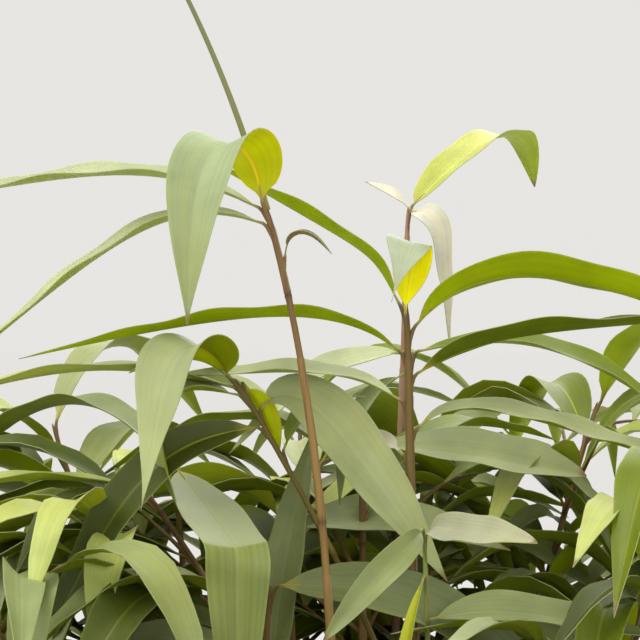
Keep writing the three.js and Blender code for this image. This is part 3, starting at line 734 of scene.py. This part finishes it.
def culm_centre(culm, z):
    share = along(culm, z) ** culm["sweep"]
    foot, tip = Vector(culm["foot"]), Vector(culm["tip"][:2])
    return foot.lerp(tip, share).to_3d() + Vector((0, 0, z))


def culm_radius(culm, z):
    share = min(1.0, along(culm, z)) ** culm["taper"]
    low, high = culm["radii"]
    return low + (high - low) * share


def seeded(seed):
    """A repeatable run of numbers from 0 to 1, the same as the part's."""
    state = seed
    while True:
        state = state * 16807 % 2147483647
        yield state / 2147483647


def outer_masses(tip, lean, seed):
    """The leaves of an outer culm in two ranks, by the part's own rule."""
    draw = seeded(seed)

    def between(limits):
        return limits[0] + (limits[1] - limits[0]) * next(draw)

    masses = {"left": [], "right": []}
    for i in range(OUTER_LEAVES):
        side = 1 if i % 2 else -1
        spread = side * OUTER_SIDE + OUTER_WANDER * (2 * next(draw) - 1)
        masses["left" if side > 0 else "right"].append(leaf(
            z=tip[2] - OUTER_TOP - OUTER_SPACING * i, heading=lean + spread, rise=between(OUTER_RISE),
            bend=between(OUTER_BEND), length=between(OUTER_LENGTH), width=between(OUTER_WIDTH),
            roll=OUTER_ROLL * (2 * next(draw) - 1), mesh=MIDDLE_GRID,
            look=OUTER_LOOKS[(i // 2 + i + seed) % len(OUTER_LOOKS)]))
    return masses


def all_culms():
    """Every culm with its masses, in the part's order."""
    culms = list(FRONT_CULMS)
    for i, (name, (foot, tip, skin)) in enumerate(OUTER_CULMS.items()):
        lean = math.degrees(math.atan2(tip[1] - foot[1], tip[0] - foot[0]))
        culms.append(culm_row(
            name, foot, tip, OUTER_RADII, OUTER_SWEEP, skin, OUTER_SPRAYS,
            (OUTER_SPRAY_FOOT, tip[2] - OUTER_SPRAY_TOP),
            (lean - OUTER_SPRAY_SIDE, lean + OUTER_SPRAY_SIDE),
            **outer_masses(tip, lean, OUTER_SEED + OUTER_SEED_STEP * i)))
    return culms


def culm_top(culm):
    """A culm ends at its highest leaf."""
    return max(blade["z"] for blades in culm["masses"].values() for blade in blades)


def joint_heights(culm, internode):
    """Heights of a culm's joints: close together at the foot, further apart upwards."""
    draw = random.Random(int(culm["name"]))
    heights = []
    z = SOIL_LEVEL + FIRST_JOINT
    gap = FIRST_GAP
    while z < culm_top(culm) + BUD_RINGS[0][0]:
        heights.append(z)
        z += gap * draw.uniform(*GAP_SPREAD)
        gap = min(internode, gap * GAP_GROWTH)
    return heights


def culm_rings(culm, settings):
    """A culm's rings from foot to tip: height, radius share, and how much is sheath and joint there.
    A sheath wraps each internode from its joint upwards, and its free edge changes sides at each joint."""
    joints = joint_heights(culm, settings.internode / MM)
    top = culm_top(culm)
    rings = [(SOIL_LEVEL - CULM_DEPTH, 1.02, 0, 0, 0)]
    for k, (z, after) in enumerate(zip(joints, [*joints[1:], top])):
        flip = k % 2
        rings += [(z + above, 1 + settings.ring * share, sheath, ring, flip)
                  for above, share, sheath, ring in JOINT_RINGS]
        wrap = (after - z) * SHEATH_SHARE
        rings += [(z + wrap * share + above, radius, sheath, 0, flip)
                  for share, above, radius, sheath in SHEATH_RINGS]
        bare = after - z - wrap
        if bare > BARE_LENGTH:
            rings.append((z + wrap + bare * 0.5, BARE_SHARE, 0, 0, flip))
    bud = [(top + above, radius, 0, 0, 0) for above, radius in BUD_RINGS]
    return [ring for ring in rings if ring[0] < bud[0][0] - 1] + bud


def add_rings(bm, culm, rings, rolled=False):
    """A tube up the culm. Its section laps over itself where there is a sheath. A rolled leaf has no
    sheath, and its rings wind upwards."""
    heights = [ring[0] for ring in rings]
    centres = [culm_centre(culm, z) for z in heights]
    radii = [culm_radius(culm, z) * ring[1] for z, ring in zip(heights, rings)]
    whole = 1.0 if rolled else along(culm, culm_top(culm))

    def round_sheath(i, turn):
        return (turn + 0.5 * rings[i][4]) % 1.0

    def lap(i, turn):
        return 1.0 + SHEATH_LAP * rings[i][2] * round_sheath(i, turn)

    marks = {
        "rise": lambda i, turn: min(1.0, along(culm, heights[i]) / whole),
        "sheath": lambda i, turn: rings[i][2],
        "ring": lambda i, turn: rings[i][3],
        "seam": lambda i, turn: rings[i][2] if round_sheath(i, turn) > SEAM_FROM else 0.0,
    }
    add_tube(bm, centres, radii, CULM_SIDES, marks, lap, Vector((1, 0, 0)), ROLLED_WIND if rolled else 0.0)


def culm_piece(culm, skins, settings):
    """One culm with its joints and sheaths. Culm 01 runs on above its highest leaf as a rolled leaf."""
    bm = new_mesh("turn", "rise", "sheath", "ring", "seam")
    if culm["name"] == ROLLED_CULM:
        low = culm_top(culm) - ROLLED_OVERLAP
        length = culm["tip"][2] - low
        heights = [low + length * i / ROLLED_RINGS for i in range(ROLLED_RINGS + 1)]
        add_rings(bm, culm, [(z, ROLLED_SHARE, 0, 0, 0) for z in heights], rolled=True)
        for face in bm.faces:
            face.material_index = 1
    rolled = set(bm.faces)
    add_rings(bm, culm, culm_rings(culm, settings))
    for face in set(bm.faces) - rolled:
        face.material_index = 0
    bmesh.ops.recalc_face_normals(bm, faces=bm.faces)
    name = culm["name"]
    return finish_piece(bm, "stem_" + name, skins, "culm", ["culm_" + name])


# Leaves

def bent(s, hinge, sharp):
    """Share of the bend that is done at share s of the blade."""
    done = s ** sharp
    left = ((1 - s) * hinge / (1 - hinge)) ** sharp
    return done / (done + left)


def blade_axes(blade, s):
    """Directions at share s: along the blade, across it and out of its upper side."""
    k = bent(s, blade["hinge"], blade["sharp"])
    pitch = math.radians(blade["rise"] - blade["bend"] * k)
    heading = math.radians(blade["heading"] + blade["swing"] * k)
    roll = math.radians(blade["roll"] + blade["twist"] * s)
    forward = Vector((math.cos(pitch) * math.cos(heading), math.cos(pitch) * math.sin(heading),
                      math.sin(pitch)))
    flat = Vector((-math.sin(heading), math.cos(heading), 0))
    side = Matrix.Rotation(roll, 3, forward) @ flat
    return forward, side, forward.cross(side)


def blade_path(start, blade):
    """Middle line of a leaf or twig, from its foot to its tip."""
    at = start.copy()
    path = [at.copy()]
    step = blade["length"] / PATH_STEPS
    for i in range(1, PATH_STEPS + 1):
        at += blade_axes(blade, i / PATH_STEPS)[0] * step
        path.append(at.copy())
    return path


def on_path(path, blade, s):
    """A smooth point at share s between the points of a path."""
    i = min(int(s * PATH_STEPS), PATH_STEPS - 1)
    t = s * PATH_STEPS - i
    if t < 1e-6:
        return path[i]
    step = blade["length"] / PATH_STEPS
    a = blade_axes(blade, i / PATH_STEPS)[0] * step
    b = blade_axes(blade, (i + 1) / PATH_STEPS)[0] * step
    return (path[i] * (2 * t**3 - 3 * t**2 + 1) + a * (t**3 - 2 * t**2 + t)
            + path[i + 1] * (-2 * t**3 + 3 * t**2) + b * (t**3 - t**2))


def outline(share, foot, tip):
    widest = foot / (foot + tip)
    top = widest**foot * (1 - widest) ** tip
    return share**foot * (1 - share) ** tip / top


def half_width(blade, s):
    """Half of a leaf's width at share s, never less than its stalk or the point of its tip."""
    share = (s * blade["length"] - STALK_LENGTH) / (blade["length"] - STALK_LENGTH)
    least = STALK_HALF_WIDTH if share < 0.1 else TIP_HALF_WIDTH
    share = max(0.0, min(1.0, share))
    return max(least, outline(share, *blade["shape"]) * blade["width"] / 2)


def add_leaf(bm, blade, path, material, draw, ripple):
    """A grid bent along the path, folded along its midrib and waved along its edges."""
    rows, columns = blade["mesh"] or FINE_GRID
    tone_layer = bm.verts.layers.float["tone"]
    uv_layer = bm.loops.layers.uv["leaf_map"]
    grid = bmesh.ops.create_grid(bm, x_segments=columns, y_segments=rows, size=1.0)["verts"]
    tone = draw.uniform(-1, 1)
    waves = blade["length"] / draw.uniform(*WAVE_LENGTH)
    phases = (draw.random(), draw.random())
    stations = []
    for i in range(rows + 1):
        s = i / rows
        _, side, up = blade_axes(blade, s)
        stations.append((on_path(path, blade, s), side, up, half_width(blade, s)))
    places = {}
    for vert in grid:
        across = -vert.co.x
        s = (vert.co.y + 1) / 2
        places[vert] = (across, s)
        middle, side, up, half = stations[round(s * rows)]
        phase = phases[0] if across > 0 else phases[1]
        wave = ripple * math.sin(2 * math.pi * (waves * s + phase)) * across**2
        wave *= math.sin(math.pi * s) * min(1.0, half / FULL_WAVE_WIDTH)
        raised = half * blade["fold"] * abs(across) ** FOLD_CURVE + wave
        vert.co = middle + side * (across * half * BLADE_SPREAD) + up * raised
        vert[tone_layer] = tone
    for face in {face for vert in grid for face in vert.link_faces}:
        face.material_index = material
        for loop in face.loops:
            across, s = places[loop.vert]
            loop[uv_layer].uv = ((across + 1) / 2, s)


def sheath_offset(culm, z, heading):
    """From the middle of the culm to the sheath that carries a mass's leaves."""
    reach = culm_radius(culm, z) + CULM_CUT + SHEATH_RADIUS / 2
    angle = math.radians(heading)
    return Vector((math.cos(angle), math.sin(angle), 0)) * reach


def add_stalk(bm, culm, blade, path):
    """The sheath of a culm leaf: it wraps up the culm, swells at the joint and runs into the leaf."""
    z = blade["z"]
    outwards = path[0] - culm_centre(culm, z)
    low = max(SOIL_LEVEL + 2, z - SHEATH_DROP)
    heights = (low, low + (z - low) * 0.4, z - 7, z - 1.5)
    centres = [culm_centre(culm, height) + outwards * share for height, share in zip(heights, STALK_OUT)]
    centres += [on_path(path, blade, s) for s in STALK_RUN]
    size = 0.75 + 0.25 * min(1.0, blade["width"] / FULL_STALK_WIDTH)
    radii = [size * radius for radius in STALK_RADII]
    add_tube(bm, centres, radii, TWIG_SIDES, {"rise": lambda i, turn: STALK_TONES[i]})


def add_twig(bm, path):
    """A side twig, thinner towards its tip."""
    centres = path[::3]
    last = len(centres) - 1
    radii = [TWIG_RADIUS - TWIG_TAPER * i / last for i in range(len(centres))]
    add_tube(bm, centres, radii, TWIG_SIDES, {"rise": lambda i, turn: TWIG_TONE * i})


def inside_box(points, spare=0.0):
    """Whether every point lies in the part's box, made larger by spare."""
    low, high = (corner / MM for corner in CAD_BOX)
    return all(low[k] - spare <= point[k] <= high[k] + spare for point in points for k in range(3))


def fitted(start, blade, spare=0.0):
    """The path of a leaf or twig, shortened until it stays inside the part's box."""
    path = blade_path(start, blade)
    while not inside_box(path[-8:], spare - blade["width"] / 2) and blade["length"] > SHORTEST:
        blade["length"] *= SHORTENING
        path = blade_path(start, blade)
    return path


def grow_spray(culm, z, heading, look, draw):
    """A side twig with its leaves: alternate left and right, the last one straight on."""
    twig = leaf(z, heading, draw.uniform(*SPRAY_RISE), draw.uniform(*SPRAY_BEND),
                draw.uniform(*SPRAY_LENGTH), 0, swing=draw.uniform(-SPRAY_SWING, SPRAY_SWING))
    path = fitted(culm_centre(culm, z), twig, -TWIG_SPARE)
    last = draw.randint(*SPRAY_LEAVES) - 1
    leaves = []
    for k in range(last + 1):
        share = SPRAY_LEAF_FIRST + (1 - SPRAY_LEAF_FIRST) * k / last
        side = 0 if k == last else (1 if k % 2 else -1)
        length = draw.uniform(*SPRAY_LEAF_LENGTH)
        blade = leaf(
            z, twig["heading"] + twig["swing"] * share + side * draw.uniform(*SPRAY_LEAF_SIDE),
            draw.uniform(*SPRAY_LEAF_RISE), draw.uniform(*SPRAY_LEAF_BEND), length,
            length * draw.uniform(*SPRAY_LEAF_WIDTH), look, hinge=draw.uniform(*SPRAY_LEAF_HINGE),
            roll=draw.uniform(-SPRAY_LEAF_ROLL, SPRAY_LEAF_ROLL), mesh=PLAIN_GRID)
        start = on_path(path, twig, min(share, 0.999))
        leaves.append((blade, fitted(start, blade)))
    return path, leaves


def side_of(culm, heading):
    """The mass of the culm whose first leaf heads most nearly the same way."""
    def apart(name):
        turn = (culm["masses"][name][0]["heading"] - heading + 180) % 360 - 180
        return abs(turn)

    names = [name for name in culm["masses"] if name not in ("flag", "curl")] or list(culm["masses"])
    return min(names, key=apart)


def plan_culm(culm, settings):
    """All leaves of a culm by mass, as (leaf, path): those of the part, those of side twigs, and the
    twigs' own paths."""
    placed, twigs = {}, []
    for name, blades in culm["masses"].items():
        lowest = min(blade["z"] for blade in blades)
        offset = sheath_offset(culm, lowest, blades[0]["heading"])
        placed[name] = [(blade, blade_path(culm_centre(culm, blade["z"]) + offset, blade))
                        for blade in blades]
    draw = random.Random(settings.seed * 100 + int(culm["name"]))
    low, high = culm["reach"]
    left, right = culm["toward"]
    count = culm["sprays"]
    grown = {name: [] for name in placed}
    for i in range(count):
        z = low + (high - low) * (i + draw.random()) / count
        heading = left + (right - left) * ((i * SPRAY_TURN + draw.random() * SPRAY_WANDER) % 1.0)
        look = SPRAY_LOOKS[draw.randrange(len(SPRAY_LOOKS))]
        path, leaves = grow_spray(culm, z, heading, look, draw)
        twigs.append(path)
        grown[side_of(culm, heading)] += leaves
    return placed, grown, twigs


def foliage_piece(culm, side, leaves, finishes, settings):
    """The leaves of one mass, as sheets with an upper side, an underside and a margin."""
    looks = sorted({blade["look"] for blade, _ in leaves})
    materials = [finishes[key] for look in looks for key in ((look, "upper"), (look, "under"), "margin")]
    bm = new_mesh("tone")
    bm.loops.layers.uv.new("leaf_map")
    draw = random.Random(settings.seed * 1000 + int(culm["name"]) * 10 + len(side))
    for blade, path in leaves:
        add_leaf(bm, blade, path, looks.index(blade["look"]) * 3, draw, settings.ripple / MM)
    for edge in bm.edges:
        if edge.is_boundary:
            edge.smooth = False
    name = culm["name"] + "_" + side
    made = finish_piece(
        bm, "foliage_" + name, materials, LEAF_SLOTS.get(side, "leaf_green"), ["leaves_" + name])
    shell = made.modifiers.new("thickness", "SOLIDIFY")
    shell.thickness = settings.thickness
    shell.offset = -1.0
    shell.material_offset = 1
    shell.material_offset_rim = 2
    return made


def leaf_finishes(settings):
    """The materials of both sides of every look, and of the margin."""
    made = {"margin": leaf_margin()}
    for look, (upper, upper_rib, under, under_rib) in LOOKS.items():
        made[look, "upper"] = leaf_side(
            "leaf_" + look + "_upper", upper, upper_rib, settings, UPPER_GLOSS, BEFORE_FOLD.get(look))
        made[look, "under"] = leaf_side(
            "leaf_" + look + "_under", under, under_rib, settings, UNDER_GLOSS)
    return made


# Pot and soil

def pot_inside(z):
    """Inner radius of the pot at a height."""
    rise = z / (POT_HEIGHT - POT_BAND_HEIGHT)
    return POT_FOOT_RADIUS + (POT_BAND_RADIUS - POT_BAND_STEP - POT_FOOT_RADIUS) * rise - POT_WALL


def soil_height(x, y):
    """Height of the soil's lumpy top."""
    place = Vector((x, y, 0))
    pace, height = SOIL_LUMPS
    crumb_pace, crumb_height = SOIL_CRUMBS
    lumps = noise.fractal(place * pace, 1.0, 2.0, 4) * height
    lumps += noise.noise(place * crumb_pace) * crumb_height
    edge = max(0.0, math.hypot(x, y) - SOIL_FLAT_RADIUS) / (pot_inside(SOIL_LEVEL) - SOIL_FLAT_RADIUS)
    return SOIL_LEVEL + lumps - SOIL_DIP * edge


def scatter(bm, count, draw, size, flat):
    """Small lumps strewn on the soil: spheres of a few faces, squashed, turned and dented."""
    for _ in range(count):
        reach = (pot_inside(SOIL_LEVEL) - STREWN_MARGIN) * math.sqrt(draw.random())
        angle = draw.uniform(0, 2 * math.pi)
        x, y = reach * math.cos(angle), reach * math.sin(angle)
        length = draw.uniform(*size)
        shape = Matrix.Diagonal((length, length * draw.uniform(*STREWN_WIDTH), length * flat, 1.0))
        tilt = Matrix.Rotation(draw.uniform(-STREWN_TILT, STREWN_TILT), 4, "X")
        turn = Matrix.Rotation(draw.uniform(0, math.pi), 4, "Z")
        place = Matrix.Translation((x, y, soil_height(x, y) + length * flat * STREWN_RISE))
        verts = bmesh.ops.create_icosphere(
            bm, subdivisions=1, radius=0.5, matrix=place @ turn @ tilt @ shape)["verts"]
        for vert in verts:
            vert.co += Vector([draw.uniform(-STREWN_DENT, STREWN_DENT) * length for _ in range(3)])


# Operators

class BAMBOO_OT_pot(bpy.types.Operator):
    """Adds the clay pot"""
    bl_idname = "bamboo.pot"
    bl_label = "Clay Pot"

    def execute(self, context):
        settings = context.scene.bamboo_pot
        band = POT_HEIGHT - POT_BAND_HEIGHT
        ring = POT_FOOT_RADIUS - POT_FOOT_RING
        profile = [
            (0, POT_FOOT_HOLLOW), (ring - POT_EDGE, POT_FOOT_HOLLOW), (ring, 0), (POT_FOOT_RADIUS, 0),
            (POT_BAND_RADIUS - POT_BAND_STEP, band), (POT_BAND_RADIUS, band + POT_BAND_SLOPE),
            (POT_BAND_RADIUS, POT_HEIGHT), (pot_inside(POT_HEIGHT), POT_HEIGHT),
            (pot_inside(POT_FLOOR), POT_FLOOR), (0, POT_FLOOR)]
        bm = spun(profile, steps=POT_SIDES, cuts=POT_CUT, rounded=POT_EDGE * 0.7)
        pace, height = POT_DENTS
        for vert in bm.verts:
            radius = math.hypot(vert.co.x, vert.co.y)
            if vert.co.z > 2 and radius > 60:
                marks = sum(high * math.sin(vert.co.z * near) for near, high in POT_MARKS)
                dents = noise.fractal(vert.co * pace, 1.0, 2.0, 3) * height
                push = 1 + (marks + dents) / radius
                vert.co.x *= push
                vert.co.y *= push
        finish_piece(bm, "clay_pot", [clay_finish(settings)], "pot", ["pot"])
        return {"FINISHED"}


class BAMBOO_OT_soil(bpy.types.Operator):
    """Adds the soil with its bark chips and grit"""
    bl_idname = "bamboo.soil"
    bl_label = "Soil"

    def execute(self, context):
        settings = context.scene.bamboo_pot
        rim = pot_inside(SOIL_LEVEL - SOIL_DIP) - 2 * GAP
        floor = POT_FLOOR + GAP
        profile = [(0, floor), (pot_inside(floor) - GAP, floor), (rim, SOIL_LEVEL - SOIL_DIP)]
        profile += [(rim * i / SOIL_RINGS, SOIL_LEVEL) for i in range(SOIL_RINGS - 1, -1, -1)]
        bm = spun(profile, steps=SOIL_SIDES)
        for vert in bm.verts:
            if vert.co.z > SOIL_LEVEL - SOIL_DIP - 1:
                vert.co.z = soil_height(vert.co.x, vert.co.y)
        finish_piece(bm, "potting_soil", [soil_finish(settings)], "soil", ["soil"])
        draw = random.Random(STREWN_SEED)
        for name, size, flat, *finish in STREWN:
            bm = bmesh.new()
            scatter(bm, settings.chips, draw, size, flat)
            finish_piece(bm, name, [crumb_finish(*finish)], "soil")
        return {"FINISHED"}


class BAMBOO_OT_culms(bpy.types.Operator):
    """Adds the culms with their joints and sheaths"""
    bl_idname = "bamboo.culms"
    bl_label = "Culms"

    def execute(self, context):
        settings = context.scene.bamboo_culms
        spear = spear_skin()
        skins = {name: culm_skin("culm_" + name, colours) for name, colours in SKINS.items()}
        for culm in all_culms():
            culm_piece(culm, [skins[culm["skin"]], spear], settings)
        return {"FINISHED"}


class BAMBOO_OT_leaves(bpy.types.Operator):
    """Adds the leaves, mass by mass, and the twigs and stalks that carry them"""
    bl_idname = "bamboo.leaves"
    bl_label = "Leaves and Twigs"

    def execute(self, context):
        settings = context.scene.bamboo_leaves
        finishes = leaf_finishes(settings)
        barks = {name: twig_skin("twig_" + name, colours) for name, colours in SKINS.items()}
        for culm in all_culms():
            placed, grown, twigs = plan_culm(culm, settings)
            for side in placed:
                foliage_piece(culm, side, placed[side] + grown[side], finishes, settings)
            bm = new_mesh("turn", "rise")
            for blades in placed.values():
                for blade, path in blades:
                    add_stalk(bm, culm, blade, path)
            for path in twigs:
                add_twig(bm, path)
            bmesh.ops.recalc_face_normals(bm, faces=bm.faces)
            finish_piece(bm, "twigs_" + culm["name"], [barks[culm["skin"]]], "culm")
        return {"FINISHED"}


class BAMBOO_OT_stage(bpy.types.Operator):
    """Adds the floor, the soft lights and the camera"""
    bl_idname = "bamboo.stage"
    bl_label = "Stage"

    def execute(self, context):
        settings = context.scene.bamboo_stage
        scene = context.scene
        bm = bmesh.new()
        bmesh.ops.create_grid(bm, x_segments=4, y_segments=4, size=FLOOR_HALF)
        pale = Mix("pale_floor", Roughness=0.9, **{"Base Color": tuple(settings.floor)})
        floor = new_object(bm, "floor", [pale.material])
        floor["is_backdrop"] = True

        world = bpy.data.worlds.new("studio")
        world.use_nodes = True
        sky = world.node_tree.nodes["Background"]
        sky.inputs["Color"].default_value = (1.0, 0.985, 0.95, 1.0)
        sky.inputs["Strength"].default_value = 0.8
        scene.world = world
        for light in LIGHTS:
            add_light(*light)

        lens = bpy.data.cameras.new("camera")
        lens.lens = settings.lens
        lens.sensor_width = 36.0
        lens.clip_start = 0.05
        camera = bpy.data.objects.new("camera", lens)
        front = culm_centre(FRONT_CULMS[1], SOIL_LEVEL).y * MM
        camera.location = (0.0, front - settings.distance, settings.eye_height)
        camera.rotation_euler = (math.radians(90), 0, 0)
        scene.collection.objects.link(camera)
        scene.camera = camera
        scene.view_settings.view_transform = "Standard"
        return {"FINISHED"}


def add_light(name, place, size, power):
    """A soft square light that the camera doesn't see."""
    light = bpy.data.lights.new(name, "AREA")
    light.size = size
    light.energy = power
    made = bpy.data.objects.new(name, light)
    made.location = place
    made.rotation_euler = (Vector(LIGHT_TARGET) - Vector(place)).to_track_quat("-Z", "Y").to_euler()
    made.visible_camera = False
    bpy.context.scene.collection.objects.link(made)


class BAMBOO_PT_panel(bpy.types.Panel):
    """Lists the pieces and their settings"""
    bl_idname = "BAMBOO_PT_panel"
    bl_label = "Potted Bamboo"
    bl_space_type = "VIEW_3D"
    bl_region_type = "UI"
    bl_category = "Bamboo"

    def draw(self, context):
        for operator, group, names in PANEL_ROWS:
            box = self.layout.box()
            box.operator(operator)
            for name in names:
                box.prop(getattr(context.scene, group), name)


PANEL_ROWS = [
    ("bamboo.pot", "bamboo_pot", ("clay", "bloom")),
    ("bamboo.soil", "bamboo_pot", ("soil", "chips")),
    ("bamboo.culms", "bamboo_culms", ("internode", "ring")),
    ("bamboo.leaves", "bamboo_leaves", ("thickness", "ripple", "veins", "seed")),
    ("bamboo.stage", "bamboo_stage", ("eye_height", "distance", "lens", "floor")),
]
GROUPS = {
    "bamboo_pot": BambooPotSettings,
    "bamboo_culms": BambooCulmSettings,
    "bamboo_leaves": BambooLeafSettings,
    "bamboo_stage": BambooStageSettings,
}
CLASSES = [
    *GROUPS.values(), BAMBOO_OT_pot, BAMBOO_OT_soil, BAMBOO_OT_culms, BAMBOO_OT_leaves, BAMBOO_OT_stage,
    BAMBOO_PT_panel,
]


def register():
    for each in CLASSES:
        bpy.utils.register_class(each)
    for name, group in GROUPS.items():
        setattr(bpy.types.Scene, name, PointerProperty(type=group))


def unregister():
    for name in GROUPS:
        delattr(bpy.types.Scene, name)
    for each in reversed(CLASSES):
        bpy.utils.unregister_class(each)


def main():
    register()
    bpy.ops.bamboo.pot()
    bpy.ops.bamboo.soil()
    bpy.ops.bamboo.culms()
    bpy.ops.bamboo.leaves()
    bpy.ops.bamboo.stage()
    sizes = {"cad": CAD_BOX, "visual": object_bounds()}
    {name: [list(corner) for corner in box] for name, box in sizes.items()}


if __name__ == "__main__":
    main()
